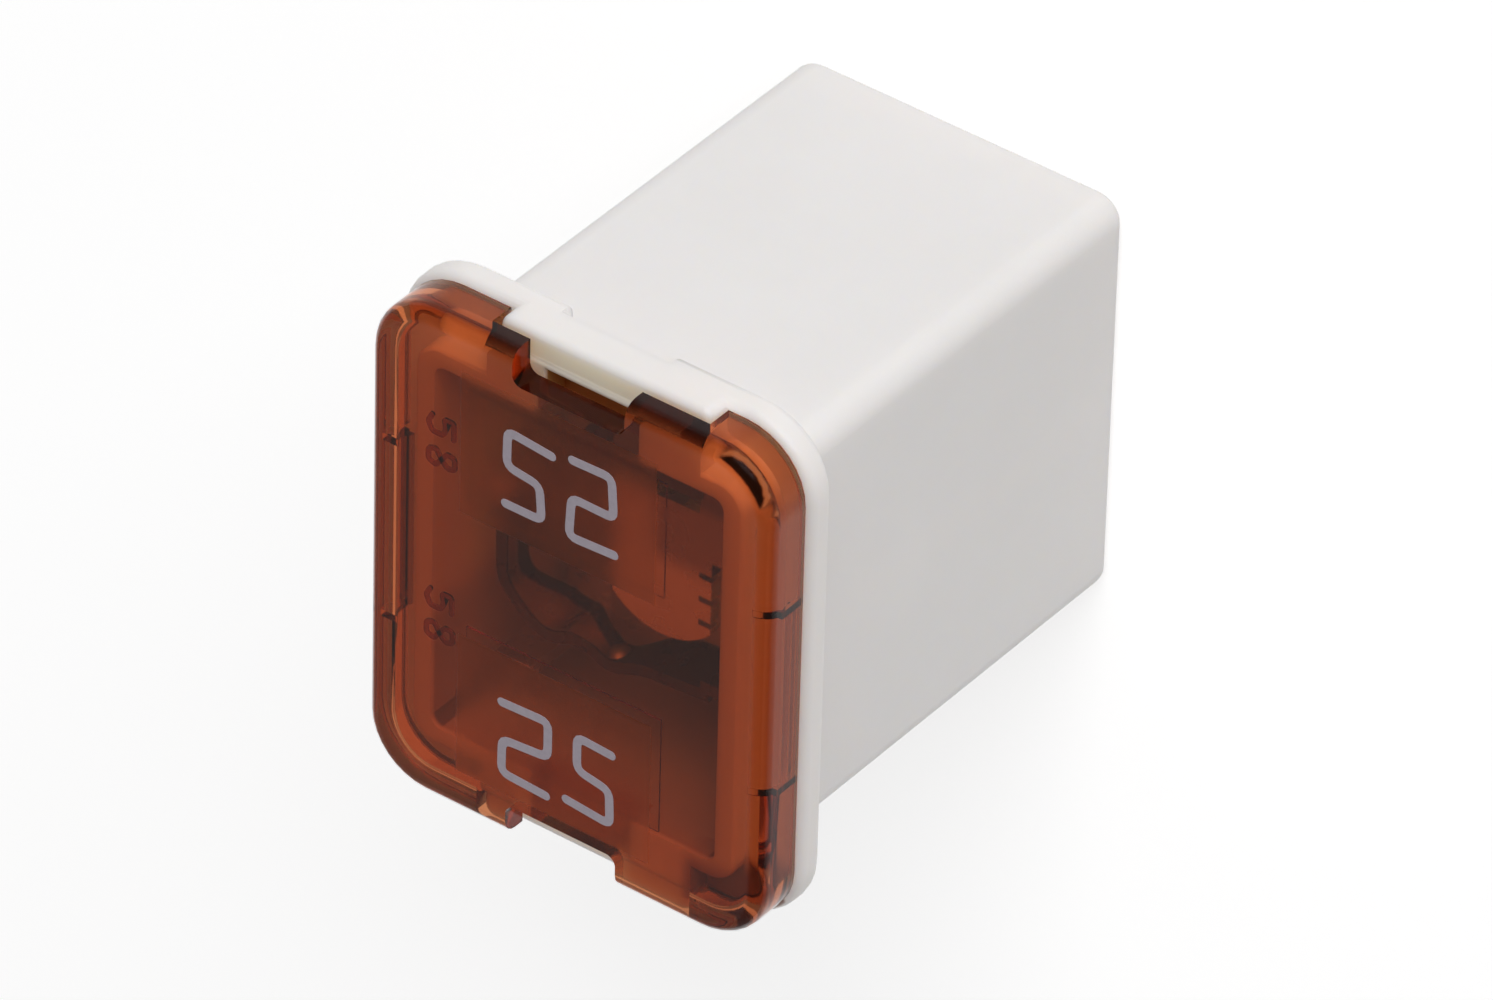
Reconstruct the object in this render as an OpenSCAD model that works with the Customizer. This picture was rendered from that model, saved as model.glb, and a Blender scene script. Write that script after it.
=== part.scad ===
// Cartridge fuse (fusible link) with a clear window cap and two female blade sockets.
// Z = 0 is the terminal end that sits on the fuse block. The window faces +Z, its long side runs along Y.

/* [Overall] */
// Height from the terminal end to the window face
total_h = 19.2; // [18.6:0.1:22]
// Smoothness of round forms
detail = 32; // [24:4:48]

/* [Body] */
// Body width, along X
body_w = 12; // [11:0.1:14]
// Body depth, along Y
body_d = 14.5; // [13.5:0.1:17]
// Radius of the upright body edges
body_corner = 0.9; // [0.4:0.1:1.5]
// Rounding of the outer rims of the moulding
rim_soft = 0.35; // [0.15:0.05:0.5]
// Thickness of the floor at the terminal end
floor_t = 1; // [0.8:0.1:1.6]
// Wall thickness on the narrow sides, left and right of the cavity
side_wall = 0.7; // [0.5:0.05:1]
// Wall thickness on the ends of the cavity, front and back in Y
end_wall = 0.6; // [0.45:0.05:0.9]
// Thickness of the wall between the two chambers
partition_t = 1.1; // [0.8:0.1:1.4]
// Space between the top of that wall and the link strip
partition_gap = 0.6; // [0.3:0.05:2]

/* [Flange and collar] */
// How far the flange stands out past the window cap
flange_lip = 0.2; // [0:0.05:0.5]
// Flange thickness
flange_t = 1.05; // [0.9:0.05:1.3]
// Radius of the flange corners
flange_corner = 2.4; // [1.8:0.1:2.8]
// Width of the finger cut in the back of the flange
finger_w = 4; // [3:0.1:6]
// Depth of the finger cut, measured up from the back of the flange
finger_h = 0.55; // [0.3:0.05:0.7]
// Height of the collar above the flange
collar_h = 0.8; // [0.5:0.05:0.85]
// Radius of the collar corners
collar_corner = 1.6; // [1:0.1:2]
// Rounding of the front edge of the collar
collar_soft = 0.3; // [0.1:0.05:0.4]

/* [Puller bars] */
// Left end of each bar, measured from the middle
bar_left = 3.35; // [2.5:0.05:3.4]
// Right end of each bar, measured from the middle
bar_right = 4.4; // [3:0.05:4.5]
// Width of a bar, along Y
bar_d = 1.1; // [0.8:0.05:1.3]
// How far a bar stands up above the flange
bar_rise = 0.72; // [0.4:0.02:0.8]
// Radius of the bar ends
bar_corner = 0.42; // [0.3:0.02:0.5]
// Left end of the probe pocket beside a bar
pocket_left = 1.6; // [1:0.1:2]
// Right end of the probe pocket beside a bar
pocket_right = 2.2; // [1:0.1:2.6]

/* [Window cap] */
// Cap width, along X
cap_w = 14.7; // [14.5:0.1:15]
// Cap depth, along Y
cap_d = 17.8; // [17.6:0.1:18.1]
// Height of the cap, from the flange to the window face
cap_h = 1.75; // [1.7:0.05:2.1]
// Radius of the cap corners
cap_corner = 2.2; // [1.8:0.1:2.6]
// Rounding of the rim of the window
cap_soft = 0.5; // [0.3:0.05:0.6]
// Thickness of the window plate
plate_t = 0.85; // [0.7:0.05:0.85]
// Thickness of the cap skirt
skirt_t = 0.55; // [0.45:0.05:0.65]
// Clearance between the cap and the collar
fit_gap = 0.05; // [0.03:0.01:0.08]
// Left end of the space without a skirt, measured from the middle
skirt_left = 3.45; // [3.45:0.05:3.7]
// Right end of the space without a skirt, measured from the middle
skirt_right = 4.5; // [4.5:0.05:4.8]
// Half the width of the notches in the two ends of the window
notch_half = 2.05; // [1.6:0.05:2.4]
// Depth of the notches
notch_d = 1.15; // [0.8:0.05:1.4]
// Radius in the corners of the notches
notch_corner = 0.35; // [0.1:0.05:0.5]
// Thickness of the pads inside the window, behind the rating
pad_t = 0.06; // [0.04:0.01:0.3]
// Left edge of the pads, measured from the middle
pad_left = 3.92; // [3.5:0.05:4.2]
// Right edge of the pads, measured from the middle
pad_right = 3.3; // [3:0.05:4]
// Distance from the middle to the near edge of the pads
pad_near = 2.25; // [2:0.05:3]
// Clearance between the pads and the ends of the cavity
pad_gap = 0.25; // [0.1:0.05:0.5]

/* [Snap fit] */
// Length of each snap lug, along Y
lug_len = 6.1; // [4:0.1:8]
// How far each snap lug stands out of the collar
lug_out = 0.2; // [0.1:0.02:0.26]
// Height of each snap lug
lug_h = 0.35; // [0.25:0.05:0.45]
// Width of the relief slits beside each lug
slit_w = 0.25; // [0.15:0.05:0.4]
// Depth of the relief slits
slit_d = 0.7; // [0.3:0.05:0.8]

/* [Terminals] */
// Width of the male blade that a socket takes
blade_w = 8; // [6.3:0.1:8.4]
// Thickness of the male blade
blade_t = 0.8; // [0.6:0.05:1]
// Thickness of the stamped sheet
sheet_t = 0.45; // [0.3:0.05:0.55]
// Clearance between a socket and the narrow sides of its chamber
socket_gap = 0.4; // [0.2:0.05:0.5]
// Half the inside width of a socket at its closed end
socket_half = 1.4; // [1:0.05:1.5]
// Height of the contact line of a socket
contact_z = 3.4; // [3:0.1:5]
// Space between the closed end of a socket and the link strip
link_rise = 2.4; // [1.2:0.1:3]
// Gap at the contact line when no blade is in the socket
contact_gap = 0.7; // [0.5:0.05:0.8]
// Thickness of the steel backing clips
spring_t = 0.3; // [0.2:0.05:0.35]
// Width of the backing clips, along X
spring_w = 6; // [5:0.1:7]
// Clearance between a backing clip and its socket
spring_gap = 0.03; // [0.02:0.01:0.06]
// Left edge of the tab beside the link, to the right of the middle
tab_left = 0.3; // [0:0.05:0.6]
// Right edge of the tab beside the link, to the right of the middle
tab_right = 3.9; // [3.2:0.1:4]
// How far the tab reaches past the middle
tab_reach = 0.5; // [0.3:0.05:0.8]
// Distance from the middle to the edge where the tab widens
tab_neck = 2.9; // [2.8:0.1:3.2]

/* [Link] */
// Depth of the link strip below the front of the flange
link_drop = 0.85; // [0.5:0.05:1.2]
// Height of the link strip at its wide part
link_h = 2; // [1.4:0.1:2.2]
// Height of the link strip at its narrow parts
link_neck = 1; // [0.8:0.05:1.2]
// Thickness of the link strip
link_t = 0.4; // [0.3:0.05:0.5]
// How far the link strip dips past the middle, along Y
link_dip = 2.85; // [2.6:0.05:3.3]
// Width of the tin drop across the link
tin_w = 0.9; // [0.7:0.05:1.1]
// Thickness of the tin drop, through the link
tin_t = 0.8; // [0.6:0.05:1]
// Diameter of the hole that holds the tin drop
tin_hole = 0.5; // [0.3:0.05:0.55]

/* [Hidden] */
$fn = detail;
cut = 0.02;

white = [0.93, 0.93, 0.92];
amber = [0.62, 0.22, 0.1, 0.55];
tinned = [0.74, 0.72, 0.7];
tin = [0.8, 0.8, 0.82];
steel = [0.6, 0.62, 0.65];

flange_w = cap_w + 2 * flange_lip;
flange_d = cap_d + 2 * flange_lip;
flange_top = total_h - cap_h;
flange_back = flange_top - flange_t;
collar_top = flange_top + collar_h;
plate_back = total_h - plate_t;
cavity_w = body_w - 2 * side_wall;
cavity_d = body_d - 2 * end_wall;
skirt_in_w = cap_w - 2 * skirt_t;
skirt_in_d = cap_d - 2 * skirt_t;
collar_w = skirt_in_w - 2 * fit_gap;
collar_d = skirt_in_d - 2 * fit_gap;
bar_y = flange_d / 2 - bar_d;
notch_y = cap_d / 2 - notch_d;
socket_w = cavity_w - 2 * socket_gap;
mouth_z = floor_t;
chamber_d = (cavity_d - partition_t) / 2;
chamber_mid = (partition_t + chamber_d) / 2;
slot_w = blade_w + 0.6;
slot_t = blade_t + 0.6;
contact_half = contact_gap / 2;
flare = 0.75;
arm_mid = chamber_mid - socket_half - sheet_t / 2;
link_top = flange_top - link_drop;
socket_top = link_top - link_h - link_rise;
link_side = socket_w / 2 - link_t / 2;
tab_top = link_top + 0.25;
leg_w = 1.3;
leg_x = link_side - leg_w;
partition_top = link_top - link_h - partition_gap;

// A flat plate with rounded corners
module round_plate(w, d, r, h) {
    linear_extrude(h) round_outline(w, d, r);
}

// The outline of such a plate, made of two bars and four discs
module round_outline(w, d, r) {
    square([w - 2 * r, d], center = true);
    square([w, d - 2 * r], center = true);
    for (x = [-1, 1], y = [-1, 1])
        translate([x * (w / 2 - r), y * (d / 2 - r)]) circle(r);
}

// A block whose upright edges have radius r and whose rims are softened by low and high
module soft_block(x0, x1, y0, y1, r, z0, z1, low, high) {
    arc = [0 : 22.5 : 90];
    profile = concat(
        [[0, z0]],
        [for (a = arc) [r - low + low * sin(a), z0 + low - low * cos(a)]],
        [for (a = arc) [r - high + high * cos(a), z1 - high + high * sin(a)]],
        [[0, z1]]
    );
    hull()
        for (x = [x0 + r, x1 - r], y = [y0 + r, y1 - r])
            translate([x, y, 0]) rotate_extrude() polygon(profile);
}

// White moulded housing

module housing() {
    color(white)
    difference() {
        union() {
            housing_body();
            housing_flange();
            collar();
            for (side = [-1, 1]) puller_bar(side);
            for (side = [-1, 1]) snap_lug(side);
        }
        cavity();
        for (side = [-1, 1]) {
            blade_slot(side);
            probe_pocket(side);
            finger_cut(side);
            relief_slits(side);
        }
    }
}

module housing_body() {
    soft_block(-body_w / 2, body_w / 2, -body_d / 2, body_d / 2,
        body_corner, 0, flange_back + 0.4, rim_soft, 0.01);
}

module housing_flange() {
    soft_block(-flange_w / 2, flange_w / 2, -flange_d / 2, flange_d / 2,
        flange_corner, flange_back, flange_top, rim_soft, rim_soft);
}

// Low wall inside the cap, rounded along its front edge
module collar() {
    soft_block(-collar_w / 2, collar_w / 2, -collar_d / 2, collar_d / 2,
        collar_corner, flange_top - cut, collar_top, 0.01, collar_soft);
}

// Bar along one end of the window that a fuse puller hooks behind
module puller_bar(side) {
    front = flange_top + bar_rise;
    y0 = side > 0 ? bar_y : -flange_d / 2;
    soft_block(-bar_left, bar_right, y0, y0 + bar_d,
        bar_corner, flange_top - flange_t / 2, front, 0.01, 0.25);
}

// Long low lug on the collar that snaps into the skirt
module snap_lug(side) {
    z0 = flange_top + 0.15;
    profile = [[0, 0], [lug_out, lug_h * 0.35], [lug_out, lug_h * 0.6], [0, lug_h], [-0.3, lug_h], [-0.3, 0]];
    translate([side * collar_w / 2, side * lug_len / 2, z0])
        rotate([90, 0, side > 0 ? 0 : 180])
            linear_extrude(lug_len) polygon(profile);
}

// Two chambers with the wall between them, open to the window
module cavity() {
    for (side = [-1, 1])
        translate([-cavity_w / 2, side > 0 ? partition_t / 2 : -partition_t / 2 - chamber_d, floor_t])
            cube([cavity_w, chamber_d, partition_top]);
    translate([0, 0, partition_top])
        round_plate(cavity_w, cavity_d, 0.4, total_h);
}

// Entry for a male blade, with a lead-in on its long edges
module blade_slot(side) {
    lead = 0.35;
    profile = [
        [-slot_t / 2 - lead - cut, -cut], [slot_t / 2 + lead + cut, -cut],
        [slot_t / 2, lead], [slot_t / 2, floor_t + cut],
        [-slot_t / 2, floor_t + cut], [-slot_t / 2, lead]
    ];
    translate([-slot_w / 2, side * chamber_mid, 0])
        rotate([90, 0, 90])
            linear_extrude(slot_w) polygon(profile);
}

// Pocket between a bar and the cavity, where a test probe reaches the terminal
module probe_pocket(side) {
    reach = bar_y - cavity_d / 2 + 0.3;
    translate([-pocket_left, side > 0 ? cavity_d / 2 - 0.3 : -bar_y, flange_top - 0.2])
        cube([pocket_left + pocket_right, reach, collar_h + bar_rise + 1]);
}

// Cut in the back of the flange behind a bar
module finger_cut(side) {
    y0 = body_d / 2 + 0.35;
    depth = flange_d / 2 - y0 + 1;
    translate([-finger_w / 2, side > 0 ? y0 : -y0 - depth, flange_back - 1])
        cube([finger_w, depth, finger_h + 1]);
}

// Thin slits that let the lug give way
module relief_slits(side) {
    for (end = [-1, 1])
        translate([side > 0 ? collar_w / 2 - slit_d : -collar_w / 2 - 1,
            end * (lug_len / 2 + slit_w / 2) - slit_w / 2, flange_top + 0.1])
            cube([slit_d + 1, slit_w, collar_h + 1]);
}

// Clear window cap

module window_cap() {
    color(amber)
    difference() {
        soft_block(-cap_w / 2, cap_w / 2, -cap_d / 2, cap_d / 2,
            cap_corner, flange_top, total_h, 0.05, cap_soft);
        cap_inside();
        for (side = [-1, 1]) {
            skirt_gap(side);
            cap_notch(side);
            lug_groove(side);
        }
    }
    color(amber) for (side = [-1, 1]) rating_pad(side);
}

// Thicker patch inside the window, behind one printed rating
module rating_pad(side) {
    far = cavity_d / 2 - pad_gap;
    translate([-pad_left, side > 0 ? pad_near : -far, plate_back - pad_t])
        cube([pad_left + pad_right, far - pad_near, pad_t + 0.1]);
}

// Space for the collar, with a fillet between the skirt and the plate
module cap_inside() {
    soft_block(-skirt_in_w / 2, skirt_in_w / 2, -skirt_in_d / 2, skirt_in_d / 2,
        collar_corner + fit_gap, flange_top - 1, plate_back, 0.01, collar_soft + fit_gap);
}

// Space for a bar, so that only the window plate runs over it
module skirt_gap(side) {
    y0 = bar_y - 0.1;
    depth = cap_d / 2 - y0 + 1;
    translate([-skirt_left, side > 0 ? y0 : -y0 - depth, flange_top - 1])
        cube([skirt_left + skirt_right, depth, plate_back - flange_top + 1]);
}

// Notch in one end of the window
module cap_notch(side) {
    depth = notch_d + 2;
    mirror([0, side > 0 ? 0 : 1, 0])
        translate([0, notch_y + depth / 2, flange_top])
            linear_extrude(total_h)
                round_outline(2 * notch_half, depth, notch_corner);
}

// Groove in the skirt that takes the lug
module lug_groove(side) {
    z0 = flange_top + 0.15 - fit_gap;
    length = lug_len + 2 * fit_gap;
    deep = lug_out + fit_gap;
    x0 = side > 0 ? skirt_in_w / 2 - 0.2 : -skirt_in_w / 2 - deep + fit_gap;
    translate([x0, -length / 2, z0])
        cube([deep + 0.2 - fit_gap, length, lug_h + 2 * fit_gap]);
}

// Distance of the inner face of a socket arm from the blade, at the height z
function arm_y(z) =
    z < contact_z
        ? contact_half + flare * pow((contact_z - z) / (contact_z - mouth_z), 2)
        : contact_half + (socket_half - contact_half)
            * (1 - cos(180 * min(1, (z - contact_z) / (socket_top - 3.4 - contact_z)))) / 2;

// Points up one arm, offset outwards by a
function arm_side(a, z0, z1) = [for (i = [0 : 24]) let (z = z0 + (z1 - z0) * i / 24) [arm_y(z) + a, z]];
function back(p) = [for (i = [len(p) - 1 : -1 : 0]) p[i]];
function flip(p) = [for (q = p) [-q[0], q[1]]];

// Turns an outline in Y and Z into a solid along X
module along_x(x0, x1) {
    translate([x0, 0, 0]) rotate([90, 0, 90]) linear_extrude(x1 - x0) children();
}

// Both arms and the closed end, as one bent strip between the offsets a and b
module bent_strip(a, b, z0, z1, x0, x1) {
    inner = arm_side(a, z0, z1 - (b - a));
    outer = arm_side(b, z0, z1);
    along_x(x0, x1) polygon(concat(inner, flip(back(inner)), flip(outer), back(outer)));
}

// Female socket: two bowed arms, each cut into four fingers
module socket() {
    difference() {
        bent_strip(0, sheet_t, mouth_z, socket_top, -socket_w / 2, socket_w / 2);
        for (x = [-socket_w / 4, 0, socket_w / 4])
            translate([x - 0.2, -5, 0]) cube([0.4, 10, socket_top - 4]);
    }
}

// Middle line of the link strip in plan, from the upper socket round to the lower one
link_start = -link_side + 0.7;
link_points = [
    [link_start, arm_mid], [link_start, 0.8], [link_start, -0.4],
    [-3.93, -1.45], [-3.4, -link_dip + 0.68], [-2.65, -link_dip + 0.14], [-2.05, -link_dip + 0.06],
    [-1.4, -link_dip + 0.3], [-0.65, -link_dip + 0.26], [0.05, -link_dip],
    [1.25, -link_dip + 0.4], [2.5, -link_dip + 0.52], [leg_x + 0.3, -arm_mid - 0.25]
];

// Point and direction of a smooth curve through the points, between point i and the next one
function curve_at(p, i, t) =
    let (a = p[max(i - 1, 0)], b = p[i], c = p[i + 1], d = p[min(i + 2, len(p) - 1)])
    0.5 * (2 * b + (c - a) * t + (2 * a - 5 * b + 4 * c - d) * t * t
        + (3 * b - a - 3 * c + d) * t * t * t);
function curve(p, n) = concat(
    [for (i = [0 : len(p) - 2], k = [0 : n - 1]) curve_at(p, i, k / n)],
    [p[len(p) - 1]]
);
function side_step(p, i) =
    let (d = p[min(i + 1, len(p) - 1)] - p[max(i - 1, 0)])
    [-d[1], d[0]] / norm(d);

// Outline of a strip of thickness t along a line of points
function strip_outline(p, t) = concat(
    [for (i = [0 : len(p) - 1]) p[i] + side_step(p, i) * t / 2],
    [for (i = [len(p) - 1 : -1 : 0]) p[i] - side_step(p, i) * t / 2]
);

// Smooth rise from 0 to 1 while u goes from 0 to 1
function rise(u) = (1 - cos(180 * min(1, max(0, u)))) / 2;

// Height of the lower edge of the link strip, which is narrow at its start and beside the middle
function link_low(x) =
    link_top - link_neck - (link_h - link_neck)
        * (rise((x + 4) / 1.5) - rise((x + 2.3) / 2.1) + rise((x - 0.3) / 1.3));

module link_strip() {
    line = curve(link_points, 6);
    edge = [for (x = [-link_side - 1 : 0.3 : link_side + 1]) [x, link_low(x)]];
    intersection() {
        translate([0, 0, link_top - link_h])
            linear_extrude(link_h) polygon(strip_outline(line, link_t));
        translate([0, 5, 0]) rotate([90, 0, 0]) linear_extrude(12)
            polygon(concat([[-link_side - 1, link_top]], edge, [[edge[len(edge) - 1][0], link_top]]));
    }
}

// Leg that joins an inner socket arm to the link strip
module link_leg(side) {
    x0 = side > 0 ? -link_side - link_t / 2 : leg_x;
    y0 = side * arm_mid - sheet_t / 2;
    translate([x0, y0, socket_top - 1]) cube([leg_w, sheet_t, link_top - socket_top + 1]);
}

// Tab that rises from the outer arm of the upper socket and lies flat under the window
module probe_tab() {
    outer = chamber_mid + socket_half + sheet_t;
    bend = sheet_t + 0.5;
    far = leg_x + leg_w;
    along_x(leg_x, far) {
        translate([outer - sheet_t, socket_top - 1])
            square([sheet_t, tab_top - bend - socket_top + 1.01]);
        translate([outer - bend, tab_top - bend]) intersection() {
            difference() {
                circle(bend);
                circle(bend - sheet_t);
            }
            square(bend);
        }
    }
    middle = (tab_right + tab_left) / 2;
    half = (tab_right - tab_left) / 2;
    nose_r = (half * half + 0.64) / 1.6;
    translate([0, 0, tab_top - sheet_t]) linear_extrude(sheet_t) difference() {
        union() {
            translate([tab_left, 0.8 - tab_reach]) square([2 * half, outer - bend - 0.8 + tab_reach]);
            translate([middle, tab_neck]) square([far - middle, outer - bend - tab_neck + 0.01]);
            intersection() {
                translate([middle, nose_r - tab_reach]) circle(nose_r);
                translate([tab_left, -tab_reach]) square([2 * half, 1]);
            }
        }
        for (y = [0.5, 1.35, 2.2]) translate([tab_right - 0.45, y]) square([1, 0.2]);
    }
}

// Low tab on the outer arm of the lower socket
module short_tab() {
    outer = chamber_mid + socket_half + sheet_t;
    translate([-leg_x - leg_w, -outer, socket_top - 1])
        cube([leg_w, sheet_t, tab_top - socket_top]);
}

// Place of the tin drop: turns its own X axis along the link
module at_tin() {
    line = curve(link_points, 6);
    i = 9 * 6;
    d = line[i + 1] - line[i - 1];
    z = link_top - link_neck / 2;
    translate([line[i][0], line[i][1], z]) rotate([0, 0, atan2(d[1], d[0])]) children();
}

module tin_bore() {
    at_tin() rotate([90, 0, 0]) cylinder(h = 2, d = tin_hole, center = true);
}

// Stamped fuse element

module fuse_element() {
    color(tinned) difference() {
        union() {
            for (side = [-1, 1]) {
                translate([0, side * chamber_mid, 0]) socket();
                link_leg(side);
            }
            link_strip();
            probe_tab();
            short_tab();
        }
        tin_bore();
    }
}

// Drop of tin set through the hole in the link

module tin_pellet() {
    dome = [for (a = [-90 : 11.25 : 90]) [tin_w / 2 * cos(a), tin_t / 2 * sin(a)]];
    color(tin) difference() {
        at_tin() rotate([90, 0, 0]) rotate_extrude() polygon(dome);
        difference() {
            link_strip();
            tin_bore();
        }
    }
}

// Steel clips that press the socket arms together

module backing_spring(side) {
    color(steel)
        translate([0, side * chamber_mid, 0])
            bent_strip(sheet_t + spring_gap, sheet_t + spring_gap + spring_t, contact_z - 0.8,
                socket_top + spring_gap + spring_t, -spring_w / 2, spring_w / 2);
}

module spring_upper() { backing_spring(1); }

module spring_lower() { backing_spring(-1); }

housing();
window_cap();
fuse_element();
tin_pellet();
spring_upper();
spring_lower();
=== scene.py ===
import math

import bmesh
import bpy
import numpy as np
from mathutils import Matrix, Vector


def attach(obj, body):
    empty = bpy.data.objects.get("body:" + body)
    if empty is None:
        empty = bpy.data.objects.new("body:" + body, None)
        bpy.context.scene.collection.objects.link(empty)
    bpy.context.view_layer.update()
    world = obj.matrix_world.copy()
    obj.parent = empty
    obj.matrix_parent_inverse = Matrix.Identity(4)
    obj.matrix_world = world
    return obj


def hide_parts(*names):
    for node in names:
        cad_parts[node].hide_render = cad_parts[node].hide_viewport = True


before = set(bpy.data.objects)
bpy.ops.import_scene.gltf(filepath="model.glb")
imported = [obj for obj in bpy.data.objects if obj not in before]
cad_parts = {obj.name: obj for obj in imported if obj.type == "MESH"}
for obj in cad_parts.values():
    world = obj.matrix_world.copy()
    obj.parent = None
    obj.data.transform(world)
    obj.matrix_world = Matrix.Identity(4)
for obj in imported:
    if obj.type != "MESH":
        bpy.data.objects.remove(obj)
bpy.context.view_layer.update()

MM = 0.001

# Places on the part, in millimetres, the same as in its solids
WALL_X, WALL_Y = 6.0, 7.25          # outer faces of the body and of the collar
WALL_CORNER = 0.9                   # radius of the body's corners
CAVITY_X, CAVITY_Y = 5.3, 6.65      # inner faces of the walls
FLANGE_TOP = 17.45
PLATE_BACK = 18.35
PLATE_FRONT = 19.2
SKIRT_IN = 6.8                      # inner face of the skirt
HOOK_HALF = 3.13                    # half of a hook's length


# Shader maths

class Term:
    """A shader value: a socket whose operators add Math nodes."""

    def __init__(self, shader, socket):
        self.shader = shader
        self.socket = socket

    def math(self, operation, other=None, swap=False, third=None):
        values = [self.socket] if other is None else [self.socket, plain(other)]
        if swap:
            values.reverse()
        if third is not None:
            values.append(plain(third))
        return self.shader.node("ShaderNodeMath", {"operation": operation}, dict(enumerate(values)))

    def __add__(self, other): return self.math("ADD", other)
    __radd__ = __add__

    def __sub__(self, other): return self.math("SUBTRACT", other)

    def __rsub__(self, other): return self.math("SUBTRACT", other, swap=True)

    def __mul__(self, other): return self.math("MULTIPLY", other)
    __rmul__ = __mul__

    def abs(self): return self.math("ABSOLUTE")

    def step(self, low, high):
        """Smooth rise from 0 at low to 1 at high."""
        return self.shader.node("ShaderNodeMapRange", {"interpolation_type": "SMOOTHSTEP"},
                                {0: self.socket, 1: low, 2: high, 3: 0.0, 4: 1.0})


def plain(value):
    return value.socket if isinstance(value, Term) else value


class Shader:
    """A material under construction."""

    def __init__(self, name, **settings):
        self.material = bpy.data.materials.new(name)
        self.material.use_nodes = True
        self.tree = self.material.node_tree
        self.surface = self.tree.nodes["Principled BSDF"]
        self.output = self.tree.nodes["Material Output"]
        for socket, value in settings.items():
            self.surface.inputs[socket.replace("_", " ")].default_value = value

    def node(self, kind, settings=None, sockets=None, out=0):
        """Any node: its settings first, then the values or links of its sockets."""
        made = self.tree.nodes.new(kind)
        for key, value in (settings or {}).items():
            if key == "stops":
                ramp = made.color_ramp
                while len(ramp.elements) < len(value):
                    ramp.elements.new(0.5)
                for element, (place, colour) in zip(ramp.elements, value):
                    element.position, element.color = place, colour
            else:
                setattr(made, key, value)
        for key, value in (sockets or {}).items():
            value = plain(value)
            if isinstance(value, bpy.types.NodeSocket):
                self.tree.links.new(value, made.inputs[key])
            else:
                made.inputs[key].default_value = value
        return Term(self, made.outputs[out])

    def place(self):
        """Object coordinates in millimetres, as three values."""
        where = self.node("ShaderNodeTexCoord", out=3)
        scaled = self.node("ShaderNodeVectorMath", {"operation": "SCALE"}, {0: where, "Scale": 1 / MM})
        return [self.node("ShaderNodeSeparateXYZ", sockets={0: scaled}, out=i) for i in range(3)]

    def noise(self, scale, detail=2.0, rough=0.5, stretch=(1, 1, 1)):
        """Noise on object coordinates, with its scale in waves a millimetre."""
        where = self.node("ShaderNodeTexCoord", out=3)
        turned = self.node("ShaderNodeMapping", {"vector_type": "POINT"},
                           {"Vector": where, "Scale": tuple(s / MM for s in stretch)})
        return self.node("ShaderNodeTexNoise", {"noise_dimensions": "3D"},
                         {"Vector": turned, "Scale": scale, "Detail": detail, "Roughness": rough})

    def blend(self, factor, first, second):
        """Colour between first and second."""
        made = self.node("ShaderNodeMix", {"data_type": "RGBA"}, {0: factor, 6: first, 7: second}, out=2)
        return made

    def set(self, socket, value):
        value = plain(value)
        if isinstance(value, bpy.types.NodeSocket):
            self.tree.links.new(value, self.surface.inputs[socket])
        else:
            self.surface.inputs[socket].default_value = value

    def bump(self, height, strength, distance):
        """Height in millimetres, as a bump."""
        self.set("Normal", self.node("ShaderNodeBump", None,
                                     {"Strength": strength, "Distance": distance * MM, "Height": height}))


def white_nylon():
    """Satin white moulding: faint mottling, fine spark-eroded grain and a soft sheen. The rim by the cap has
    painted amber light, the chambers have painted amber light that gives way to painted shade towards -y, the
    bar pockets have an amber-tinted painted shade, and the nylon under the cap's near right end has painted
    shade."""
    s = Shader("white_nylon", Base_Color=(0.82, 0.82, 0.81, 1), Roughness=0.42, IOR=1.5,
               Subsurface_Weight=0.6, Subsurface_Radius=(1.0, 0.85, 0.65), Subsurface_Scale=0.0012)
    broad = s.noise(0.25, 3.0)
    fine = s.noise(9.0, 3.0, 0.6)
    x, y, z = s.place()
    colour = s.blend(broad, (0.875, 0.832, 0.806, 1), (0.927, 0.88, 0.854, 1))
    # painted amber light: the nylon by the cap is tinted as if lit through the amber
    painted_amber_light = z.step(17.3, 18.0) * (1 - y.abs().step(8.6, 9.0)) * (1 - x.abs().step(6.9, 7.3))
    colour = s.blend(painted_amber_light, colour, (0.88, 0.8, 0.64, 1))
    # painted light inside the chambers: amber-tinted light, turning to painted shade towards -y
    painted_chamber_light = z.step(0.9, 1.0) * (1 - x.abs().step(CAVITY_X - 0.01, CAVITY_X + 0.01))
    painted_chamber_light = painted_chamber_light * (1 - y.abs().step(CAVITY_Y - 0.01, CAVITY_Y + 0.01))
    painted_chamber_light = painted_chamber_light * (1 - z.step(18.0, 18.2))
    painted_low_shade = 1 - y.step(-3.4, -1.2)
    painted_chamber_light_and_shade = s.blend(painted_low_shade, (0.93, 0.76, 0.38, 1), (0.27, 0.21, 0.12, 1))
    colour = s.blend(painted_chamber_light, colour, painted_chamber_light_and_shade)
    # painted shade in the pockets under the bar, tinted amber as if lit through the cap
    pocket_painted_shade = x.step(-1.66, -1.61) * (1 - x.step(2.21, 2.26)) * y.abs().step(6.6, 6.66)
    pocket_painted_shade = pocket_painted_shade * (1 - y.abs().step(8.0, 8.03)) * z.step(17.1, 17.2) * (1 - z.step(18.05, 18.15))
    colour = s.blend(pocket_painted_shade, colour, (0.5, 0.32, 0.12, 1))
    # painted shade on the nylon under the cap's near right end, towards +x and -y
    corner_painted_shade = x.step(3.9, 4.6) * (1 - y.step(-7.4, -6.2)) * z.step(17.3, 17.4) * (1 - x.step(6.9, 7.0))
    colour = s.blend(corner_painted_shade * (1 - y.abs().step(8.5, 8.6)), colour, (0.34, 0.2, 0.16, 1))
    s.set("Base Color", colour)
    s.set("Roughness", 0.36 + 0.14 * fine)
    s.bump(0.6 * fine + 0.4 * s.noise(2.2, 2.0), 0.25, 0.012)
    return s.material


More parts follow.
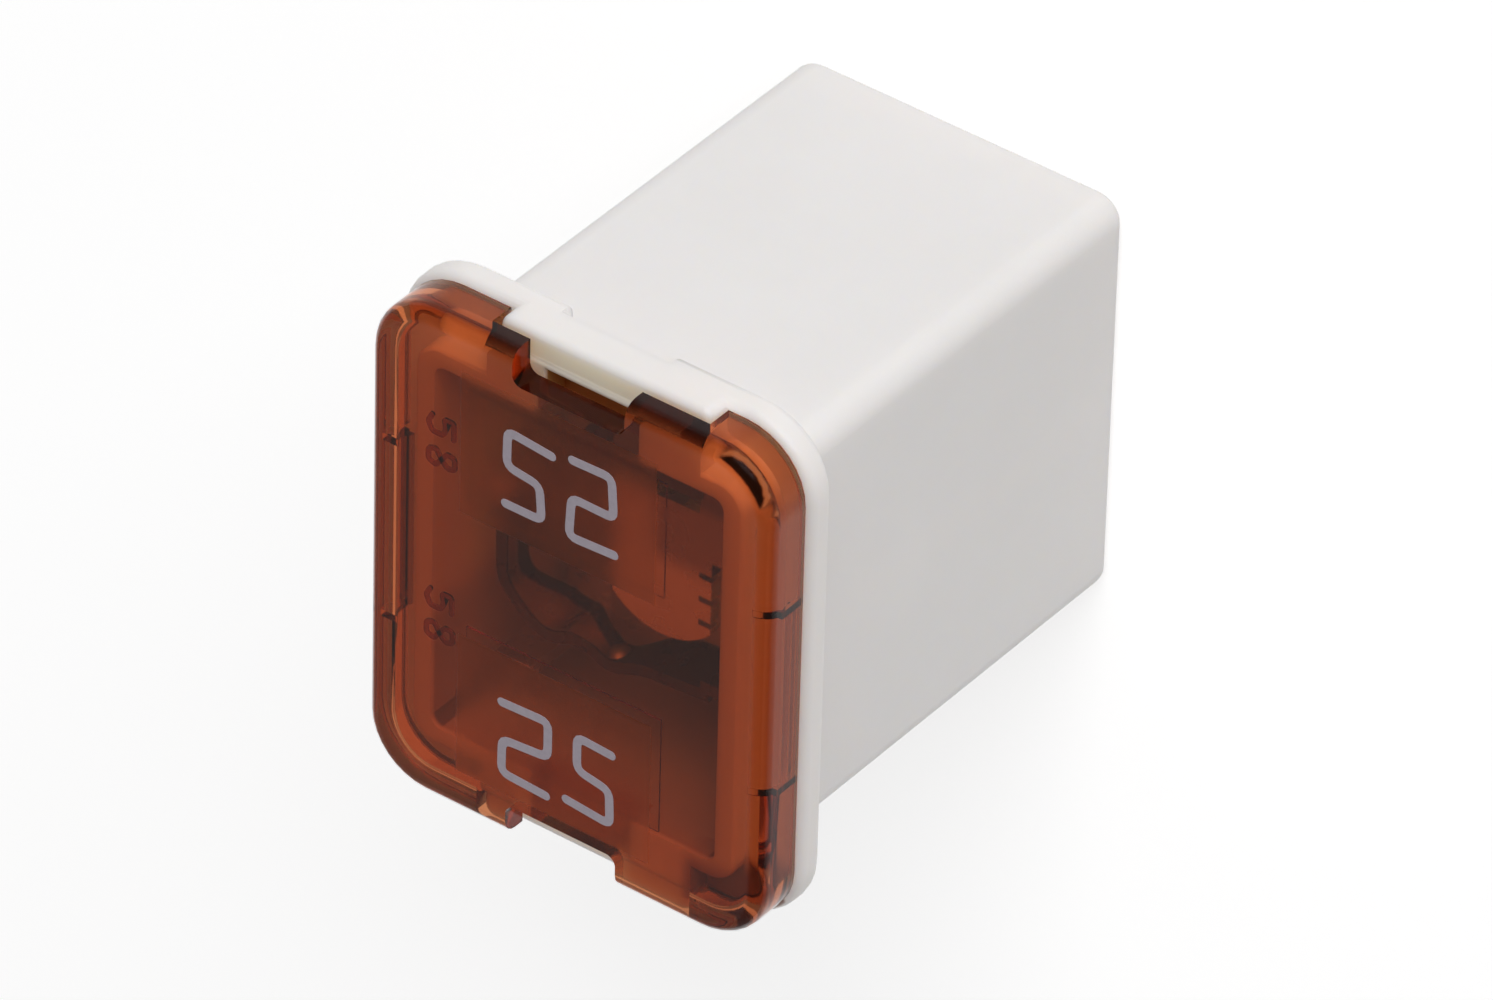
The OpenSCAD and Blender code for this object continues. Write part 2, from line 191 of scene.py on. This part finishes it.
def amber_clear():
    """Clear amber moulding: the colour comes from its surface and from the depth of plastic that the
    light crosses. The side faces are darker as painted shade, darker still as painted shade where the right
    side meets the near side, and the rating pads have a grain."""
    s = Shader("amber_clear", Base_Color=(0.63, 0.29, 0.14, 1), Roughness=0.03, IOR=1.5,
               Transmission_Weight=1.0, Specular_Tint=(0.12, 0.1, 0.1, 1))
    x, y, z = s.place()
    face = z.step(19.1, 19.2)
    on_pad = (x.step(-3.98, -3.88) * (1 - x.step(3.22, 3.32)) * face
              * (y.abs() - 4.8).abs().math("LESS_THAN", 2.55))
    grain = s.noise(11.0, 3.0, 0.7)
    # painted shade: the side faces are darker
    side_painted_shade = x.abs().step(7.2, 7.32).math("MAXIMUM", y.abs().step(8.75, 8.87))
    tint_with_side_shade = s.blend(side_painted_shade, (0.63, 0.29, 0.14, 1), (0.47, 0.185, 0.085, 1))
    # painted shade, darker still, where the right side meets the near side (towards +x and -y)
    near_corner_painted_shade = x.step(3.8, 5.6) * (1 - y.step(-8.3, -6.9))
    s.set("Base Color", s.blend(near_corner_painted_shade, tint_with_side_shade, (0.36, 0.14, 0.07, 1)))
    s.set("Roughness", 0.04 + 0.27 * on_pad + 0.04 * s.noise(1.3, 3.0))
    s.bump(grain * on_pad * 0.9 + 0.12 * s.noise(0.6, 2.0), 0.35, 0.03)
    s.node("ShaderNodeVolumeAbsorption")
    absorb = s.tree.nodes["Volume Absorption"]
    absorb.inputs["Color"].default_value = (0.86, 0.41, 0.1, 1)
    absorb.inputs["Density"].default_value = 600.0
    s.tree.links.new(absorb.outputs[0], s.output.inputs["Volume"])
    clear = s.tree.nodes.new("ShaderNodeBsdfTransparent")
    ray = s.tree.nodes.new("ShaderNodeLightPath")
    mix = s.tree.nodes.new("ShaderNodeMixShader")
    s.tree.links.new(ray.outputs["Is Shadow Ray"], mix.inputs[0])
    s.tree.links.new(s.surface.outputs[0], mix.inputs[1])
    s.tree.links.new(clear.outputs[0], mix.inputs[2])
    s.tree.links.new(mix.outputs[0], s.output.inputs["Surface"])
    return s.material


def tin_plate(name, tone, rough, link_shade_tone=None):
    """Tin-plated sheet: fine rolling lines and slight clouding. On the link, painted shade makes it dark,
    with a stripe of painted light along its upper part:
    it lies between the sockets and the tab, below the line y = -0.9 and left of the legs. A patch high up,
    towards +x and +y, is darker."""
    s = Shader(name, Base_Color=(*tone, 1), Metallic=1.0, Roughness=rough)
    cloud = s.noise(0.9, 4.0)
    lines = s.noise(3.0, 2.0, 0.5, stretch=(0.3, 6.0, 0.3))
    colour = s.blend(cloud, (*[0.82 * t for t in tone], 1), (*tone, 1))
    if link_shade_tone:
        x, y, z = s.place()
        # painted shade: the link between the sockets and the tab is darkened
        link_shade_mask = z.step(14.4, 14.5) * y.step(-3.5, -3.3) * (1 - y.step(1.3, 1.6))
        link_shade_mask = link_shade_mask * (1 - (x.step(-0.3, 0.0) * y.step(-1.2, -1.0)))
        low = 15.6 - (x.step(-4.0, -2.5) - x.step(-2.3, -0.2) + x.step(0.3, 1.6))
        # painted light: a lighter stripe along the upper part of the link, left of x = -0.6, as its lit face
        painted_lit_band = ((z - low).step(0.45, 0.6) * (1 - z.step(16.5, 16.58)) * (1 - x.step(-0.6, 0.2)))
        colour = s.blend(link_shade_mask, colour, (*link_shade_tone, 1))
        colour = s.blend(link_shade_mask * painted_lit_band, colour, (0.62, 0.52, 0.45, 1))
        # a patch high on the strip, towards +x and +y, is darker
        darker_patch = z.step(16.0, 16.2) * y.step(1.8, 2.8) * x.step(1.3, 2.2)
        colour = s.blend(darker_patch, colour, (0.42, 0.38, 0.36, 1))
    s.set("Base Color", colour)
    s.set("Roughness", rough - 0.06 + 0.16 * cloud)
    s.bump(lines, 0.3, 0.02)
    return s.material


def rating_ink():
    """Pale printed ink, slightly uneven."""
    s = Shader("rating_ink", Base_Color=(0.37, 0.33, 0.38, 1), Roughness=0.6)
    s.set("Base Color", s.blend(s.noise(7.0, 3.0), (0.38, 0.335, 0.385, 1), (0.5, 0.44, 0.5, 1)))
    s.bump(s.noise(9.0, 3.0), 0.4, 0.02)
    return s.material


# Pieces

def add_piece(name, mesh, material, node=None):
    piece = bpy.data.objects.new(name, mesh)
    bpy.context.scene.collection.objects.link(piece)
    mesh.materials.clear()
    mesh.materials.append(material)
    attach(piece, "root")
    if node:
        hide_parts(node)
    return piece


def merged(mesh, flatten=False):
    """Doubled points become one, and flat neighbours one face where that is asked."""
    work = bmesh.new()
    work.from_mesh(mesh)
    bmesh.ops.remove_doubles(work, verts=work.verts, dist=2e-7)
    if flatten:
        bmesh.ops.dissolve_limit(work, angle_limit=math.radians(0.2), verts=work.verts, edges=work.edges)
    work.to_mesh(mesh)
    work.free()


def shaped(mesh, tools):
    """The mesh after each tool body is joined to it or cut from it, in turn."""
    blank = bpy.data.objects.new("blank", mesh)
    bpy.context.scene.collection.objects.link(blank)
    bodies = []
    for body, operation in tools:
        tool = bpy.data.objects.new("tool", body)
        bpy.context.scene.collection.objects.link(tool)
        change = blank.modifiers.new("change", "BOOLEAN")
        change.operation, change.solver, change.object = operation, "EXACT", tool
        bodies.append(tool)
    result = bpy.data.meshes.new_from_object(blank.evaluated_get(bpy.context.evaluated_depsgraph_get()))
    for done in [blank] + bodies:
        bpy.data.objects.remove(done)
    return result


def smoothed_copy(node, name, material, angle=32.0, tools=()):
    """The solid's own mesh, merged and shaped by its tools, with smooth faces up to the angle."""
    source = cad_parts[node]
    mesh = source.data.copy()
    mesh.transform(source.matrix_world)
    merged(mesh)
    if tools:
        mesh = shaped(mesh, tools)
    merged(mesh, flatten=True)
    mesh.shade_smooth()
    mesh.set_sharp_from_angle(angle=math.radians(angle))
    piece = add_piece(name, mesh, material, node)
    even = piece.modifiers.new("even_normals", "WEIGHTED_NORMAL")
    even.mode = "FACE_AREA"
    even.weight = 60
    even.keep_sharp = True
    return piece


def closed_loft(name, rings):
    """A closed body from rings of as many points each: every ring is joined to the next, point by
    point, and the first and last ring are filled."""
    rings = np.asarray(rings, float)
    count, n = rings.shape[:2]
    i = np.arange(n)
    j = (i + 1) % n
    walls = [np.stack([i + k * n, j + k * n, j + k * n + n, i + k * n + n], axis=1) for k in range(count - 1)]
    faces = np.vstack(walls).tolist() + [i[::-1].tolist(), (i + (count - 1) * n).tolist()]
    mesh = bpy.data.meshes.new(name)
    mesh.from_pydata((rings.reshape(-1, 3) * MM).tolist(), [], faces)
    work = bmesh.new()
    work.from_mesh(mesh)
    bmesh.ops.recalc_face_normals(work, faces=work.faces)
    work.to_mesh(mesh)
    work.free()
    return mesh


def channel_cutter(side, start):
    """The open channel between the collar and the skirt, along one long side and round its two
    corners. Its section goes up the collar's outer face, turns in over the collar's rounded edge by a
    quarter circle, and comes down again outside the skirt's inner face; each point of the section
    runs along a rounded rectangle that is larger by the point's distance out."""
    turn = np.linspace(0, np.pi / 2, 6)
    floor = FLANGE_TOP - 0.02
    inner = [(0, floor)] + list(zip(0.15 * np.cos(turn) - 0.15, 18.1 + 0.16 * np.sin(turn)))
    section = inner + [(-0.4, 18.5), (1.0, 18.5), (1.0, floor)]
    arc = np.linspace(np.pi / 2, 0, 10)
    paths = []
    for out, z in section:
        end = 1.1 if out > 0 else out
        radius = max(WALL_CORNER + out, 0.05)
        x = WALL_X + out - radius + radius * np.cos(arc)
        y = WALL_Y + end - radius + radius * np.sin(arc)
        x = np.concatenate([[start], x, x[::-1], [start]]) * side
        y = np.concatenate([[WALL_Y + end], y, -y[::-1], [-WALL_Y - end]])
        paths.append(np.stack([x, y, np.full(len(x), z)], axis=1))
    return closed_loft("channel", np.stack(paths, axis=1))


def snap_hook(side):
    """Low hook on the skirt's inner face: one section, carried along the hook's length."""
    section = np.array([(0.26, 0.08), (-0.25, 0.08), (-0.25, 0.17),
                        (-0.1, 0.35), (-0.01, 0.57), (0.26, 0.57)])
    across, height = SKIRT_IN + section[:, 0], FLANGE_TOP + section[:, 1]
    rings = [np.c_[side * across, np.full(len(section), y), height] for y in (-HOOK_HALF, HOOK_HALF)]
    return closed_loft("hook", rings)


def relief_cutter(side, y):
    """Groove beside a hook, along the whole height of the skirt's inner face."""
    section = np.array([(6.5, -0.125), (7.12, -0.125), (7.12, 0.125), (6.5, 0.125)])
    levels = (FLANGE_TOP - 0.15, PLATE_BACK)
    rings = [np.c_[side * section[:, 0], y + section[:, 1], np.full(len(section), z)] for z in levels]
    return closed_loft("relief", rings)


def stroke(points, width, z0, z1, steps=10):
    """A flat stroke with round ends: each side is the middle line moved sideways by half the width,
    and each end is a half circle of that radius."""
    p = np.asarray(points, float)
    step = np.diff(p, axis=0)
    along = step / np.linalg.norm(step, axis=1)[:, None]
    at = np.vstack([along[:1], (along[1:] + along[:-1]), along[-1:]])
    at /= np.linalg.norm(at, axis=1)[:, None]
    side = np.stack([-at[:, 1], at[:, 0]], axis=1)
    turn = np.ones(len(p))
    turn[1:-1] = 1 / np.maximum(np.sum(side[1:-1] * np.stack([-along[1:, 1], along[1:, 0]], 1), axis=1), 0.5)
    r = width / 2
    left = p + side * r * turn[:, None]
    right = p - side * r * turn[:, None]
    sweep = np.linspace(-np.pi / 2, np.pi / 2, steps)[1:-1, None]
    tip = p[-1] + r * (np.cos(sweep) * at[-1] + np.sin(sweep) * side[-1])
    tail = p[0] - r * (np.cos(sweep) * at[0] + np.sin(sweep) * side[0])
    ring = np.vstack([right, tip, left[::-1], tail])
    n = len(ring)
    verts = np.vstack([np.c_[ring, np.full(n, z0)], np.c_[ring, np.full(n, z1)]]) * MM
    i = np.arange(n)
    j = (i + 1) % n
    walls = np.stack([i, j, j + n, i + n], axis=1).tolist()
    return verts, walls + [i[::-1].tolist(), (i + n).tolist()]


def rounded_path(points, radius, steps=5):
    """Straight runs with each corner turned by a quadratic curve that starts and ends at the radius."""
    p = np.asarray(points, float)
    out = [p[:1]]
    t = np.linspace(0, 1, steps)[:, None]
    for a, b, c in zip(p[:-2], p[1:-1], p[2:]):
        start = b + (a - b) / np.linalg.norm(a - b) * radius
        end = b + (c - b) / np.linalg.norm(c - b) * radius
        out.append((1 - t) ** 2 * start + 2 * t * (1 - t) * b + t ** 2 * end)
    out.append(p[-1:])
    return np.vstack(out)


def rating(name, figures, material, width=0.31, turn=0.3, low=PLATE_FRONT - 0.004, high=PLATE_FRONT + 0.013):
    """A group of figures as flat strokes between two heights."""
    verts, faces, base = [], [], 0
    for path in figures:
        v, f = stroke(rounded_path(path, turn), width, low, high)
        verts.append(v)
        faces += [[k + base for k in face] for face in f]
        base += len(v)
    mesh = bpy.data.meshes.new(name)
    mesh.from_pydata(np.vstack(verts).tolist(), [], faces)
    mesh.update()
    return add_piece(name, mesh, material)


# The finished pieces

nylon = white_nylon()
amber = amber_clear()
tinned = tin_plate("tin_plate", (0.92, 0.89, 0.85), 0.26, link_shade_tone=(0.14, 0.12, 0.1))
drop = tin_plate("tin_drop", (0.42, 0.41, 0.4), 0.45)
clip = tin_plate("clip_steel", (0.6, 0.6, 0.6), 0.28)
ink = rating_ink()

channels = [(channel_cutter(1, 4.43), "DIFFERENCE"), (channel_cutter(-1, 3.38), "DIFFERENCE")]
hooks = [(snap_hook(side), "UNION") for side in (1, -1)]
reliefs = [(relief_cutter(side, y), "DIFFERENCE") for side in (1, -1) for y in (3.255, -3.255)]
smoothed_copy("housing", "housing_shell", nylon, tools=channels)
smoothed_copy("window_cap", "window_cap_clear", amber, tools=hooks + reliefs)
smoothed_copy("fuse_element", "fuse_strip", tinned)
smoothed_copy("tin_pellet", "tin_drop_set", drop)
smoothed_copy("spring_upper", "clip_upper", clip)
smoothed_copy("spring_lower", "clip_lower", clip)

# Rating figures: the middle line of each stroke, in millimetres on the window
LOWER = [
    [(-2.24, -4.0), (-0.51, -3.92), (-0.51, -5.22), (-2.2, -5.37), (-2.22, -6.6), (-0.55, -6.68)],
    [(1.84, -4.0), (0.57, -3.93), (0.58, -5.15), (1.78, -5.35), (1.83, -6.58), (0.2, -6.44)],
]
UPPER = [
    [(-0.55, 5.85), (-2.17, 6.0), (-2.19, 4.73), (-0.98, 4.58), (-0.88, 3.36), (-2.22, 3.35)],
    [(0.2, 6.06), (1.64, 6.1), (1.74, 4.68), (0.2, 4.7), (0.12, 3.27), (1.78, 3.36)],
]
rating("rating_lower", LOWER, ink)
rating("rating_upper", UPPER, ink)

# Side figures under the left edge of the window
FIVE = [(0.85, 0.3), (0.85, -0.3), (0.5, -0.3), (0.56, 0.05), (0.45, 0.3), (0.05, 0.3), (-0.1, 0.0),
        (0.05, -0.3)]
EIGHT = [(0.4, 0.02), (0.62, 0.26), (0.9, 0.2), (0.9, -0.2), (0.62, -0.26), (0.2, 0.3), (-0.08, 0.2),
         (-0.08, -0.2), (0.2, -0.3), (0.36, -0.06)]
marks = [[(x - 5.35, y - v) for x, v in figure]
         for figure, y in ((FIVE, 4.6), (EIGHT, 3.42), (FIVE, -1.8), (EIGHT, -2.98))]
rating("side_figures", marks, amber, 0.17, 0.1, 18.285, 18.346)


# Floor, light and camera

def seen_directly(tree, ray):
    """1 for rays from the camera, off a mirror or through clear plastic: the highest of the three."""
    value = ray.outputs["Is Camera Ray"]
    for kind in ("Is Glossy Ray", "Is Transmission Ray"):
        most = tree.nodes.new("ShaderNodeMath")
        most.operation = "MAXIMUM"
        tree.links.new(value, most.inputs[0])
        tree.links.new(ray.outputs[kind], most.inputs[1])
        value = most.outputs[0]
    return value


def studio():
    floor_mesh = bpy.data.meshes.new("studio_floor")
    r = 2.0
    under = -0.03 * MM
    corners = [(-r, -r, under), (r, -r, under), (r, r, under), (-r, r, under)]
    floor_mesh.from_pydata(corners, [], [(0, 1, 2, 3)])
    floor = bpy.data.objects.new("studio_floor", floor_mesh)
    bpy.context.scene.collection.objects.link(floor)
    s = Shader("floor_paper", Base_Color=(0.9, 0.9, 0.9, 1), Roughness=0.9)
    s.set("Base Color", s.blend(s.noise(0.02, 2.0), (0.89, 0.89, 0.89, 1), (0.91, 0.91, 0.91, 1)))
    ray = s.tree.nodes.new("ShaderNodeLightPath")
    lift = s.tree.nodes.new("ShaderNodeEmission")
    lift.inputs["Strength"].default_value = 0.5
    nothing = s.tree.nodes.new("ShaderNodeEmission")
    nothing.inputs["Strength"].default_value = 0.0
    pick = s.tree.nodes.new("ShaderNodeMixShader")
    s.tree.links.new(seen_directly(s.tree, ray), pick.inputs[0])
    s.tree.links.new(nothing.outputs[0], pick.inputs[1])
    s.tree.links.new(lift.outputs[0], pick.inputs[2])
    both = s.tree.nodes.new("ShaderNodeAddShader")
    s.tree.links.new(s.surface.outputs[0], both.inputs[0])
    s.tree.links.new(pick.outputs[0], both.inputs[1])
    s.tree.links.new(both.outputs[0], s.output.inputs["Surface"])
    floor_mesh.materials.append(s.material)
    world = bpy.data.worlds.new("studio")
    bpy.context.scene.world = world
    world.use_nodes = True
    tree = world.node_tree
    tree.nodes.clear()
    out = tree.nodes.new("ShaderNodeOutputWorld")
    light = tree.nodes.new("ShaderNodeBackground")
    light.inputs["Color"].default_value = (1, 1, 1, 1)
    light.inputs["Strength"].default_value = 0.36
    tree.links.new(light.outputs[0], out.inputs["Surface"])


def lamp(name, place, size, power, aim=(0, 0, 0.01)):
    data = bpy.data.lights.new(name, "AREA")
    data.shape = "DISK"
    data.size = size
    data.energy = power
    lamp_object = bpy.data.objects.new(name, data)
    lamp_object.location = place
    way = Vector(aim) - Vector(place)
    lamp_object.rotation_euler = way.to_track_quat("-Z", "Y").to_euler()
    bpy.context.scene.collection.objects.link(lamp_object)


def camera():
    """Turned so that the window's long side is upright in the picture, as in the photograph."""
    right = Vector((0.7963, 0.0223, -0.6046)).normalized()
    down = Vector((0.3789, -0.7974, 0.4697))
    down = (down - down.dot(right) * right).normalized()
    ahead = right.cross(down)
    data = bpy.data.cameras.new("view")
    data.sensor_width = 36.0
    data.lens = 14617.7 / 1493 * 36
    data.clip_start = 0.01
    data.clip_end = 20
    made = bpy.data.objects.new("view", data)
    turn = Matrix((right, -down, -ahead)).transposed().to_4x4()
    turn.translation = Vector((204.28554, 260.54456, 289.04544)) * MM
    made.matrix_world = turn
    bpy.context.scene.collection.objects.link(made)
    bpy.context.scene.camera = made


studio()
lamp("key", (0.248, 0.604, 0.225), 0.6, 3.0)
lamp("window_fill", (-0.38, -0.48, 0.51), 0.5, 0.2)
camera()
bpy.context.scene.view_settings.view_transform = "Standard"
